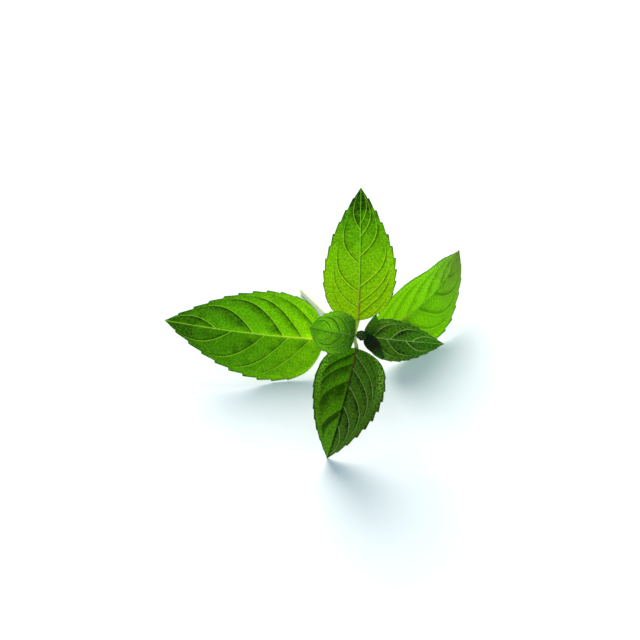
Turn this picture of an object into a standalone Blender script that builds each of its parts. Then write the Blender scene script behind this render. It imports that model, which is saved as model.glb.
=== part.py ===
"""A sprig of mint, cut and laid down on a flat surface.

A square stem leans up from its cut end and carries four pairs of leaves, each
pair turned a quarter of a turn from the one below it: two large pairs, one
small pair and, at the tip, two tiny leaves beside the closed bud. The sprig
rests on the cut end, on a low margin of each leaf of the lowest pair and on
the tip of the front leaf.

Lengths below are in millimetres and angles in degrees; meshes are in metres.
"""

import math

import bpy
import numpy as np
from mathutils import Matrix, Vector

MM = 0.001

# Where the sprig stands in its own frame
SPRIG_AT = (1.04, 20.15, 0.0)

# Blades: a section's middle lies nearer the foot than its ends, by the power SWEEP
BLADE_THICKNESS = 0.64
WIDEST_AT = 1 / 3
SWEEP = 1.4
RIPPLES = 2.5
MIDRIB_RIDGE = 0.55
MIDRIB_STEPS = 60
TIP_HALF_WIDTH = 0.22

# Teeth: how far their points stand out and lean forward, as shares of the blade's
# width and length, and the share of a tooth's pitch and of its depth at each point
TOOTH_DEPTH = 0.024
TOOTH_LEAN = 0.008
TEETH_FROM, TEETH_TO = 0.13, 0.93
TOOTH_SHAPE = ((0.0, -0.4), (0.5, 0.2), (0.88, 0.6))

# Where a blade's sections meet its margin, as shares of its length, and where
# their points lie across it, as shares of half its width
FOOT_STATIONS = (0.0, 0.006, 0.02, 0.045, 0.085)
PLAIN_STATIONS = (0.15, 0.25, 0.36, 0.48, 0.6, 0.72, 0.83, 0.92, 0.975)
TIP_STATIONS = (TEETH_TO, 0.965)
ACROSS = (1.0, 0.72, 0.4, 0.09)
ACROSS_TINY = (1.0, 0.45)

# Leaf stalks: rings from the stem to the blade, their flattened section, and the
# furthest that one starts from the middle of its node, as a share of its reach
STALK_RINGS, TINY_STALK_RINGS = 6, 3
STALK_FLATNESS = 0.8
STALK_ARC = 76
STALK_START = 0.78

# Stem: centre line and half the width of its square section
STEM_POINTS = (
    (-5.4, 12.2, 1.13),
    (2.6, -1.9, 4.3),
    (8.8, -14.8, 9.2),
    (10.0, -24.9, 18.2),
    (9.5, -33.9, 27.7),
    (10.8, -38.4, 32.3),
    (12.4, -40.6, 34.4),
)
STEM_HALF_WIDTHS = (1.25, 1.2, 1.15, 0.95, 0.85, 0.66, 0.45)
STEM_NODES = ((2, 0.35), (4, 0.3), (5.5, 0.05))
STEM_CORNER = 1.09
STEM_SIDES = 12
STEM_STEPS = 6
JOINT_GAP = 0.3

# Each leaf: its node, counted in the stem's spans, the foot of its blade, where its
# midrib heads (compass angle from +X, rise), how far the blade is rolled about
# the midrib, its size, and how it is bent: the droop of the midrib over its
# length, its sideways bend and twist, the angle that each half is folded up and
# the further curl of each half per millimetre
LEAVES = {
    "leaf_left": dict(
        node=2, foot=(1.1, -17.0, 8.64), heading=-175.5, rise=9.0, roll=-57.5,
        length=48.2, width=27.1, droop=11.6, sideways=-5.6, twist=7.6,
        fold=3.9, curl=0.2, ripple=0.3, lobes=0.6, teeth=9, petiole=0.75,
    ),
    "leaf_right": dict(
        node=2, foot=(16.6, -15.6, 9.9), heading=21.9, rise=8.9, roll=78.0,
        length=44.0, width=25.5, droop=55.6, sideways=8.6, twist=-3.8,
        fold=8.8, curl=0.4, ripple=0.3, lobes=0.4, teeth=9, petiole=0.75,
    ),
    "leaf_back": dict(
        node=4, foot=(10.8, -32.6, 32.4), heading=84.9, rise=62.1, roll=21.4,
        length=38.1, width=21.4, droop=17.4, sideways=-1.9, twist=-9.0,
        fold=2.4, curl=0.2, ripple=0.25, lobes=0.3, teeth=9, petiole=0.6,
    ),
    "leaf_front": dict(
        node=4, foot=(10.4, -37.8, 26.22), heading=-104.3, rise=-36.5, roll=-15.4,
        length=33.7, width=21.1, droop=33.2, sideways=-0.6, twist=-13.7,
        fold=9.8, curl=0.3, ripple=0.25, lobes=0.6, teeth=9, petiole=0.6,
    ),
    "small_leaf_left": dict(
        node=5.5, foot=(9.8, -39.6, 33.5), heading=-138.4, rise=37.6, roll=-68.0,
        length=21.1, width=12.3, droop=1.0, sideways=-5.9, twist=-0.5,
        fold=5.3, curl=0.3, ripple=0.15, lobes=0.9, teeth=7, petiole=0.4,
    ),
    "small_leaf_right": dict(
        node=5.5, foot=(13.4, -39.7, 33.1), heading=-22.2, rise=10.9, roll=62.7,
        length=22.4, width=12.4, droop=10.4, sideways=2.1, twist=-1.2,
        fold=7.0, curl=0.3, ripple=0.15, lobes=0.4, teeth=7, petiole=0.4,
    ),
    "tip_leaf_upper": dict(
        node=6, foot=(14.5, -40.6, 36.0), heading=20.0, rise=77.0, roll=78.0,
        length=6.2, width=3.3, droop=8.0, sideways=0.0, twist=0.0,
        fold=16.0, curl=2.0, ripple=0.0, lobes=0.0, teeth=0, petiole=0.35,
    ),
    "tip_leaf_lower": dict(
        node=6, foot=(14.2, -42.1, 34.4), heading=-58.6, rise=-10.8, roll=25.0,
        length=5.7, width=3.2, droop=8.0, sideways=0.0, twist=0.0,
        fold=16.0, curl=2.0, ripple=0.0, lobes=0.0, teeth=0, petiole=0.35,
    ),
}

# Bud: its foot, where it points, its length and its greatest half widths
BUD_FOOT = (12.6, -41.1, 34.9)
BUD_HEADING, BUD_RISE = -129.0, 38.0
BUD_LENGTH = 3.9
BUD_HALF_WIDTHS = (1.35, 1.3)
BUD_RINGS, BUD_SIDES = 9, 10
BUD_FOOT_SWELL = 0.28

# Colour (sRGB, 0 to 1), roughness and metallic value of each piece
LOOKS = {
    "stem": ((0.70, 0.74, 0.50), 0.50, 0.0),
    "leaf_left": ((0.32, 0.57, 0.10), 0.50, 0.0),
    "leaf_right": ((0.40, 0.66, 0.14), 0.50, 0.0),
    "leaf_back": ((0.43, 0.68, 0.10), 0.50, 0.0),
    "leaf_front": ((0.20, 0.38, 0.08), 0.48, 0.0),
    "small_leaf_left": ((0.30, 0.54, 0.10), 0.48, 0.0),
    "small_leaf_right": ((0.19, 0.35, 0.08), 0.48, 0.0),
    "tip_leaf_upper": ((0.14, 0.28, 0.10), 0.48, 0.0),
    "tip_leaf_lower": ((0.12, 0.22, 0.10), 0.48, 0.0),
    "tip_bud": ((0.15, 0.28, 0.10), 0.48, 0.0),
}


def clear_scene():
    """Removes every object that the file opened with."""
    for obj in list(bpy.data.objects):
        bpy.data.objects.remove(obj, do_unlink=True)


def to_linear(channel):
    """One sRGB channel, 0 to 1, as linear light."""
    if channel <= 0.04045:
        return channel / 12.92
    return ((channel + 0.055) / 1.055) ** 2.4


def material(name):
    """A Principled material with the piece's own colour."""
    colour, roughness, metallic = LOOKS[name]
    mat = bpy.data.materials.new(name)
    mat.use_nodes = True
    shader = mat.node_tree.nodes["Principled BSDF"]
    linear = [to_linear(channel) for channel in colour]
    shader.inputs["Base Color"].default_value = (*linear, 1.0)
    shader.inputs["Roughness"].default_value = roughness
    shader.inputs["Metallic"].default_value = metallic
    mat.diffuse_color = (*linear, 1.0)
    return mat


def add_piece(name, points, faces):
    """A smooth-shaded mesh object from points in millimetres."""
    mesh = bpy.data.meshes.new(name)
    shifted = (np.asarray(points) + SPRIG_AT) * MM
    mesh.from_pydata([tuple(point) for point in shifted], [], faces)
    mesh.validate()
    mesh.shade_smooth()
    mesh.materials.append(material(name))
    obj = bpy.data.objects.new(name, mesh)
    bpy.context.scene.collection.objects.link(obj)
    return obj


def tube_faces(rings, sides, upper=None):
    """Triangles between rings of `sides` points, and a fan over each end ring.

    The rings come first in the point list; the two end centres follow them.
    The sides past the first `upper` are split along their other diagonal, so
    that the two faces of a blade are split alike.
    """
    faces = []
    for ring in range(rings - 1):
        for side in range(sides):
            a = ring * sides + side
            b = ring * sides + (side + 1) % sides
            if upper is None or side < upper:
                faces.append((a, b, b + sides))
                faces.append((a, b + sides, a + sides))
            else:
                faces.append((a, b, a + sides))
                faces.append((b, b + sides, a + sides))
    start, end = rings * sides, rings * sides + 1
    last = (rings - 1) * sides
    for side in range(sides):
        following = (side + 1) % sides
        faces.append((start, following, side))
        faces.append((end, last + side, last + following))
    return faces


def stem_centre(span):
    """The stem's centre at a place counted in spans, on a Catmull-Rom curve."""
    points = [Vector(point) for point in STEM_POINTS]
    before = points[0] * 2 - points[1]
    after = points[-1] * 2 - points[-2]
    points = [before, *points, after]
    k = min(int(span), len(STEM_POINTS) - 2)
    t = span - k
    p0, p1, p2, p3 = points[k : k + 4]
    return 0.5 * (2 * p1 + (p2 - p0) * t
                  + (2 * p0 - 5 * p1 + 4 * p2 - p3) * t ** 2
                  + (3 * p1 - p0 - 3 * p2 + p3) * t ** 3)


def stem_half_width(span):
    """Half the stem's width at a place counted in spans, with its swollen nodes."""
    here = np.interp(span, range(len(STEM_HALF_WIDTHS)), STEM_HALF_WIDTHS)
    for node, swelling in STEM_NODES:
        here += swelling * math.exp(-(((span - node) / 0.16) ** 2))
    return float(here)


def build_stem():
    """The stem: a square with well-rounded corners, swept along its centre line."""
    count = (len(STEM_POINTS) - 1) * STEM_STEPS + 1
    path = [stem_centre(k / STEM_STEPS) for k in range(count)]
    points = []
    for k, centre in enumerate(path):
        along = (path[min(k + 1, count - 1)] - path[max(k - 1, 0)]).normalized()
        across = Vector((0, 0, 1)).cross(along).normalized()
        up = along.cross(across)
        half = stem_half_width(k / STEM_STEPS)
        for side in range(STEM_SIDES):
            angle = 2 * math.pi * (side + 0.5) / STEM_SIDES
            corner = 1 + (STEM_CORNER - 1) * math.cos(4 * (angle - math.pi / 4))
            offset = across * math.cos(angle) + up * math.sin(angle)
            points.append(centre + offset * half * corner)
    points.append(path[0])
    points.append(path[-1])
    return add_piece("stem", points, tube_faces(count, STEM_SIDES))


def leaf_frame(heading, rise, roll):
    """Columns: along the midrib, across to its left, and up from the upper face."""
    a, e, r = (math.radians(angle) for angle in (heading, rise, roll))
    along = Vector((math.cos(e) * math.cos(a), math.cos(e) * math.sin(a), math.sin(e)))
    level_up = Vector((-math.sin(e) * math.cos(a), -math.sin(e) * math.sin(a), math.cos(e)))
    level_left = level_up.cross(along)
    left = level_left * math.cos(r) + level_up * math.sin(r)
    up = level_up * math.cos(r) - level_left * math.sin(r)
    return Matrix((along, left, up)).transposed()


def midrib(leaf):
    """Points and frames along the midrib, bent evenly over its length."""
    frame = leaf_frame(leaf["heading"], leaf["rise"], leaf["roll"])
    place = Vector(leaf["foot"])
    turn = Vector([math.radians(leaf[k]) for k in ("twist", "droop", "sideways")])
    half_turn = Matrix.Rotation(turn.length / MIDRIB_STEPS / 2, 3, turn)
    places, frames = [place.copy()], [frame.copy()]
    for _ in range(MIDRIB_STEPS):
        middle = frame @ half_turn
        place = place + middle.col[0] * leaf["length"] / MIDRIB_STEPS
        frame = middle @ half_turn
        places.append(place.copy())
        frames.append(frame.copy())
    return np.array(places), np.array([np.array(f) for f in frames])


def half_width(leaf, t):
    """Half the blade's breadth at the share t of its length: root t times 1 - t."""
    peak = math.sqrt(WIDEST_AT) * (1 - WIDEST_AT)
    blade = leaf["width"] / 2 * math.sqrt(t) * (1 - t) / peak
    return math.hypot(blade, leaf["petiole"] * (1 - t) + TIP_HALF_WIDTH * t)


def on_leaf(leaf, rib, x, y, height):
    """The point at x along the blade, y to its left and height above its mid surface."""
    places, frames = rib
    share = min(max(x / leaf["length"], 0.0), 1.0) * MIDRIB_STEPS
    k = min(int(share), MIDRIB_STEPS - 1)
    blend = share - k
    place = places[k] * (1 - blend) + places[k + 1] * blend
    frame = frames[k] * (1 - blend) + frames[k + 1] * blend
    along, left, up = frame[:, 0], frame[:, 1], frame[:, 2]
    side = 1 if y > 0 else -1
    reach = abs(y)
    fold = math.radians(leaf["fold"])
    curl = math.radians(leaf["curl"])
    chord = fold + curl * reach / 2
    slope = fold + curl * reach
    beyond = x - min(max(x, 0.0), leaf["length"])
    place = place + along * beyond
    place = place + left * side * reach * math.cos(chord) + up * reach * math.sin(chord)
    return place + (up * math.cos(slope) - left * side * math.sin(slope)) * height


def margin_stations(teeth):
    """Shares of the length where the margin has a point, and how far out each lies.

    A tooth is a long back that rises to a point and a short step down after it.
    """
    toothed = []
    for tooth in range(teeth):
        pitch = (TEETH_TO - TEETH_FROM) / teeth
        for share, out in TOOTH_SHAPE:
            toothed.append((TEETH_FROM + (tooth + share) * pitch, out))
    plain = TIP_STATIONS if teeth else PLAIN_STATIONS
    foot = [(share, 0.0) for share in FOOT_STATIONS]
    return foot + toothed + [(share, 0.0) for share in (*plain, 1.0)]


def ring_shares(half):
    """Where the points lie across a blade, from its left margin to its right."""
    return [*half, 0.0, *(-share for share in reversed(half))]


def blade_ring(leaf, rib, t, out, shares):
    """The closed ring of points across the blade whose margin is at the share t.

    Its middle lies nearer the foot than its ends, as the side veins run.
    """
    length = leaf["length"]
    half = half_width(leaf, t)
    foot = t ** SWEEP
    size = math.sin(math.pi * min(t, 1.0)) ** 0.5
    tooth = out * TOOTH_DEPTH * leaf["width"] * size
    lobe = leaf["lobes"] * math.sin(math.pi * min(t / 0.3, 1.0)) ** 2
    upper, lower = [], []
    for share in shares:
        part = abs(share)
        x = length * (foot + (t - foot) * part ** 1.3) - lobe * part ** 2
        y = share * half
        if part == 1.0:
            x += TOOTH_LEAN * length * out
            y += tooth * share
        wave = leaf["ripple"] * part ** 2 * math.sin(2 * math.pi * RIPPLES * t) * size
        thick = BLADE_THICKNESS / 2
        ridge = MIDRIB_RIDGE * leaf["petiole"] * (1 - t) if share == 0 else 0.0
        upper.append(on_leaf(leaf, rib, x, y, wave + thick))
        lower.append(on_leaf(leaf, rib, x, y, wave - thick - ridge))
    return upper + lower[::-1]


def petiole_ring(leaf, centre, frame, shares):
    """A small round ring of the leaf stalk, with as many points as a blade's."""
    left, up = frame[:, 1], frame[:, 2]
    radius = leaf["petiole"]
    upper, lower = [], []
    for share in shares:
        angle = share * math.radians(STALK_ARC)
        across = left * math.sin(angle) * radius
        height = up * math.cos(angle) * radius * STALK_FLATNESS
        upper.append(centre + across + height)
        lower.append(centre + across - height)
    return upper + lower[::-1]


def build_leaf(name, leaf):
    """One leaf: its stalk from the stem and its toothed, bent blade, as one solid."""
    rib = midrib(leaf)
    shares = ring_shares(ACROSS if leaf["teeth"] else ACROSS_TINY)
    foot, frame = rib[0][0], rib[1][0]
    node = np.array(stem_centre(leaf["node"]))
    outward = foot - node
    distance = np.linalg.norm(outward)
    outward = outward / distance
    clear = stem_half_width(leaf["node"]) * STEM_CORNER + JOINT_GAP + leaf["petiole"] / 2
    start = node + outward * min(clear, distance * STALK_START)
    reach = np.linalg.norm(foot - start)
    knots = (start, start + outward * reach / 3, foot - frame[:, 0] * reach / 3, foot)
    rings = []
    steps = STALK_RINGS if leaf["teeth"] else TINY_STALK_RINGS
    for step in range(steps):
        u = step / steps
        weights = ((1 - u) ** 3, 3 * u * (1 - u) ** 2, 3 * u ** 2 * (1 - u), u ** 3)
        centre = sum(weight * knot for weight, knot in zip(weights, knots))
        rings.append(petiole_ring(leaf, centre, frame, shares))
    for t, out in margin_stations(leaf["teeth"]):
        rings.append(blade_ring(leaf, rib, t, out, shares))
    points = [point for ring in rings for point in ring]
    points.append(np.mean(rings[0], axis=0))
    points.append(np.mean(rings[-1], axis=0))
    return add_piece(name, points, tube_faces(len(rings), 2 * len(shares), len(shares)))


def build_bud():
    """The closed bud: an oval with a pointed end, flattened from side to side."""
    frame = np.array(leaf_frame(BUD_HEADING, BUD_RISE, 0))
    foot = np.array(BUD_FOOT)
    points = []
    for ring in range(BUD_RINGS):
        t = ring / (BUD_RINGS - 1)
        swell = BUD_FOOT_SWELL * (1 - t) + math.sin(math.pi * (0.985 * t) ** 1.2) ** 0.9
        for side in range(BUD_SIDES):
            angle = 2 * math.pi * side / BUD_SIDES
            across = frame[:, 1] * math.cos(angle) * BUD_HALF_WIDTHS[0]
            height = frame[:, 2] * math.sin(angle) * BUD_HALF_WIDTHS[1]
            points.append(foot + frame[:, 0] * BUD_LENGTH * t + (across + height) * swell)
    points.append(foot)
    points.append(foot + frame[:, 0] * BUD_LENGTH * 1.03)
    return add_piece("tip_bud", points, tube_faces(BUD_RINGS, BUD_SIDES))


def main():
    clear_scene()
    build_stem()
    for name, leaf in LEAVES.items():
        build_leaf(name, leaf)
    build_bud()


main()
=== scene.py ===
"""The looks of a cut sprig of mint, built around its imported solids.

Every leaf is worked out again as a fine sheet with its own net of veins, on the
same bent midrib as its solid. Lengths in the tables are in millimetres and
angles in degrees; meshes are in metres, in the frame of the solids.
"""

import math
from functools import partial

import bpy
import numpy as np
from bpy.props import FloatProperty, FloatVectorProperty, PointerProperty
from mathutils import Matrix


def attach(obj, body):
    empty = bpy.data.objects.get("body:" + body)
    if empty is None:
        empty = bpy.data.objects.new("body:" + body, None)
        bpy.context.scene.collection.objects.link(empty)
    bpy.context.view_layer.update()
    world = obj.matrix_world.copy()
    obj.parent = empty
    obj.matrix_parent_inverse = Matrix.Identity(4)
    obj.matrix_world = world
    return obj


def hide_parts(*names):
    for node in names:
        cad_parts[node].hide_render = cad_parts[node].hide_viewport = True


bl_info = {
    "name": "Mint Sprig",
    "version": (1, 0, 0),
    "blender": (4, 5, 0),
    "location": "3D View > Sidebar > Sprig",
    "description": "Builds the leaves, stem and bud of a cut mint sprig, and its stage",
    "category": "Add Mesh",
}

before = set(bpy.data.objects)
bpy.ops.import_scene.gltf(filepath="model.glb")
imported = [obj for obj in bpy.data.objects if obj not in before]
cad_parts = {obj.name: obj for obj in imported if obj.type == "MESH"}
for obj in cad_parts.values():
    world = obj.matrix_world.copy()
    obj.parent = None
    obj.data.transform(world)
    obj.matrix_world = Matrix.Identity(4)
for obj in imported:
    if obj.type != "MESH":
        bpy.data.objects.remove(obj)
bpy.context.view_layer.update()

MM = 0.001
BODY = "root"

# Where the point under the middle of the picture lies, and how the camera sees it
SPRIG_AT = (1.04, 20.15, 0.0)
CAMERA_DISTANCE = 555.0
CAMERA_ELEVATION = 45.0
CAMERA_LENS = 100.0

# The light from behind: where it stands as seen from the sprig, with 90 straight
# behind, and how broad it looks
LAMP_HEADING = 104.0
LAMP_ELEVATION = 38.0
LAMP_ANGLE = 40.0
BOARD_HALF_EDGE = 12000.0

# Blades, as in the solids
SWEEP = 1.4
RIPPLES = 2.5
TIP_HALF_WIDTH = 0.22
TOOTH_DEPTH = 0.024
TOOTH_LEAN = 0.008
TEETH_FROM, TEETH_TO = 0.13, 0.93
TOOTH_PEAK = 0.88
TOOTH_LOW, TOOTH_HIGH = -0.4, 0.6

# Relief of the blades: how far a groove or ridge spreads beside its vein, how high
# the side veins stand out below, and from which gap on the fields swell in full
GROOVE_SPREAD, RIDGE_SPREAD = 0.27, 0.22
RIDGE_HEIGHT = 0.08
FULL_SWELL_GAP = 5.0
# Length of the leaf whose veins have the full size; smaller leaves have finer ones
FULL_VEIN_LENGTH = 34.0

# Patterns of the blades: sizes on the leaf and heights. The UV map spans PLAN_WIDTH.
PLAN_WIDTH = 60.0
CLOUD_SIZE, WANDER_SIZE, SPECK_SIZE, PILLOW_SIZE = 3.0, 2.5, 0.5, 0.5
NET_HEIGHT, PILLOW_HEIGHT = 0.15, 0.1
# The painted shadow line beside a vein fades in and out over these distances
SHADOW_LINE_START, SHADOW_LINE_END = (0.08, 0.22), (0.24, 0.58)

# Down: hairs on stem, stalks, veins and margins, with three corners at these angles
HAIR_LENGTH = 0.35
HAIR_RADIUS = 0.016
HAIR_SUNK = 0.03
HAIR_CORNERS = (0.0, 2.094, 4.189)
MARGIN_FROM = 0.985
STEM_HAIRS = 2600
BUD_HAIRS = 220
DOWN_COLOUR = "#C8D8A4"

# Settings of nodes: a change with an S-shaped rise, and a mix of two colours
SMOOTH = {"interpolation_type": "SMOOTHSTEP"}
COLOURS = {"data_type": "RGBA"}

SKIN_IOR = 1.45
DOWNY_GLOSS = 0.08
# Sizes of the patterns of the stem's skin
BLOTCH_SIZE, GRAIN_SIZE = 2.5, 0.4

# Stem: centre line, half widths and swollen nodes, as in the solid
STEM_POINTS = (
    (-5.4, 12.2, 1.13),
    (2.6, -1.9, 4.3),
    (8.8, -14.8, 9.2),
    (10.0, -24.9, 18.2),
    (9.5, -33.9, 27.7),
    (10.8, -38.4, 32.3),
    (12.4, -40.6, 34.4),
)
STEM_HALF_WIDTHS = (1.25, 1.2, 1.15, 0.95, 0.85, 0.66, 0.45)
STEM_NODES = ((2, 0.35), (4, 0.3), (5.5, 0.05))

# Bud, as in the solid
BUD_FOOT = (12.6, -41.1, 34.9)
BUD_HEADING, BUD_RISE = -129.0, 38.0
BUD_LENGTH = 3.9
BUD_HALF_WIDTHS = (1.35, 1.3)
BUD_FOOT_SWELL = 0.28

# Leaves, as in the solids, and their side veins on the left and on the right:
# veins: where they leave the midrib, as shares of the length
# reach: the share of the half width at which they turn to run along the margin
# run: over how much of the length they turn
# shadow_line: how dark the painted shadow beside them looks, and on which side, +
# towards the tip; last that beside the midrib, + on its left
# bite: how deep the teeth are, as a share of the solid's; taper: under 1 for a blunt tip
TINY_BLADE = dict(
    slot="tip", node=6, droop=8.0, sideways=0.0, twist=0.0, fold=16.0, curl=2.0, ripple=0.0,
    lobes=0.0, teeth=0, quilt=0.12, veins=((0.15, 0.4, 0.65), (0.15, 0.4, 0.65)),
    reach=(0.85, 0.85), run=(0.18, 0.18), shadow_line=(0.4, 0.4, 0), bite=(0, 0),
)
LEAVES = {
    "left_leaf": dict(
        stands_for="leaf_left", slot="leaf", look="sunlit", node=2, foot=(1.1, -17.0, 8.64),
        heading=-175.5, rise=9.0, roll=-57.5, length=48.2, width=27.1,
        droop=11.6, sideways=-5.6, twist=7.6, fold=3.9, curl=0.2,
        ripple=0.3, lobes=0.6, teeth=9, petiole=0.75, quilt=1.0,
        veins=((0.08, 0.22, 0.37, 0.58), (0.13, 0.25, 0.44, 0.68)),
        reach=(1.08, 1.0), run=(0.26, 0.22), shadow_line=(0.8, 0.8, -0.4), bite=(0.9, 0.85),
    ),
    "right_leaf": dict(
        stands_for="leaf_right", slot="leaf", look="bright", node=2, foot=(16.6, -15.6, 9.9),
        heading=21.9, rise=8.9, roll=78.0, length=44.0, width=25.5,
        droop=55.6, sideways=8.6, twist=-3.8, fold=8.8, curl=0.4,
        ripple=0.3, lobes=0.4, teeth=9, petiole=0.75, quilt=0.3,
        veins=((0.1, 0.24, 0.4, 0.57, 0.74), (0.08, 0.2, 0.35, 0.52, 0.7)),
        reach=(0.9, 0.9), run=(0.18, 0.18), shadow_line=(0.1, 0.35, 0.1), bite=(0.2, 0.85),
    ),
    "back_leaf": dict(
        stands_for="leaf_back", slot="leaf", look="golden", node=4, foot=(10.8, -32.6, 32.4),
        heading=84.9, rise=62.1, roll=21.4, length=38.1, width=21.4,
        droop=17.4, sideways=-1.9, twist=-9.0, fold=2.4, curl=0.2,
        ripple=0.25, lobes=0.3, teeth=9, petiole=0.6, quilt=0.4,
        veins=((0.084, 0.217, 0.426, 0.69), (0.048, 0.137, 0.257, 0.494, 0.64, 0.735)),
        reach=(0.78, 0.88), run=(0.16, 0.18), shadow_line=(0.6, -0.6, -0.8), bite=(0.75, 0.95),
    ),
    "front_leaf": dict(
        stands_for="leaf_front", slot="leaf", look="shaded", node=4, foot=(10.4, -37.8, 26.22),
        heading=-104.3, rise=-36.5, roll=-15.4, length=33.7, width=21.1,
        droop=33.2, sideways=-0.6, twist=-13.7, fold=9.8, curl=0.3,
        ripple=0.25, lobes=0.6, teeth=9, petiole=0.6, quilt=0.9,
        veins=((0.04, 0.165, 0.32, 0.5, 0.68), (0.05, 0.14, 0.29, 0.555)),
        reach=(0.82, 0.86), run=(0.24, 0.15), shadow_line=(0.4, -1, 1), bite=(1.1, 0.5),
    ),
    "small_left_leaf": dict(
        stands_for="small_leaf_left", slot="young_leaf", look="young", node=5.5,
        foot=(9.8, -39.6, 33.5), heading=-138.4, rise=37.6, roll=-68.0,
        length=21.1, width=12.3, droop=1.0, sideways=-5.9, twist=-0.5, fold=5.3, curl=0.3,
        ripple=0.15, lobes=0.9, teeth=7, petiole=0.4, quilt=0.6, taper=0.62,
        veins=((0.06, 0.24, 0.44), (0.1, 0.3, 0.5)),
        reach=(0.85, 0.85), run=(0.3, 0.26), shadow_line=(0.9, 0.9, 0.5), bite=(1, 1),
    ),
    "small_right_leaf": dict(
        stands_for="small_leaf_right", slot="young_leaf", look="shaded_young", node=5.5,
        foot=(13.4, -39.7, 33.1), heading=-22.2, rise=10.9, roll=62.7,
        length=22.4, width=12.4, droop=10.4, sideways=2.1, twist=-1.2, fold=7.0, curl=0.3,
        ripple=0.15, lobes=0.4, teeth=7, petiole=0.4, quilt=0.55,
        veins=((0.06, 0.31, 0.6), (0.08, 0.26, 0.52)),
        reach=(0.85, 0.85), run=(0.2, 0.18), shadow_line=(0.9, 0.9, -0.5), bite=(0.9, 0.8),
    ),
    "upper_tip_leaf": dict(
        TINY_BLADE, stands_for="tip_leaf_upper", look="tip", foot=(13.6, -41.0, 35.2),
        heading=22.0, rise=70.8, roll=78.0, length=7.2, width=3.9, petiole=0.6,
    ),
    "lower_tip_leaf": dict(
        TINY_BLADE, stands_for="tip_leaf_lower", look="painted_shade_tip", foot=(13.1, -41.4, 34.7),
        heading=-54.8, rise=-11.2, roll=25.0, length=8.4, width=4.1, petiole=0.7,
    ),
}

# How many rows and columns of points the large, small and tiny blades have: rows
# before the teeth, for each tooth, after the teeth, columns in each half, rows
# along the stalk; and how many hairs
GRIDS = {
    "leaf": dict(foot=34, tooth=20, tip=14, half=56, stalk=14, hairs=900),
    "young_leaf": dict(foot=24, tooth=16, tip=10, half=36, stalk=8, hairs=900),
    "tip": dict(foot=14, tooth=0, tip=40, half=16, stalk=5, hairs=200),
}

# What the material reads from the points of a blade
BLADE_FIELDS = (
    "along", "across", "left", "rib", "vein_count", "vein_gap", "vein_strength",
    "shadow_line", "rib_shadow_line", "shade_behind_vein",
)
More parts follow.
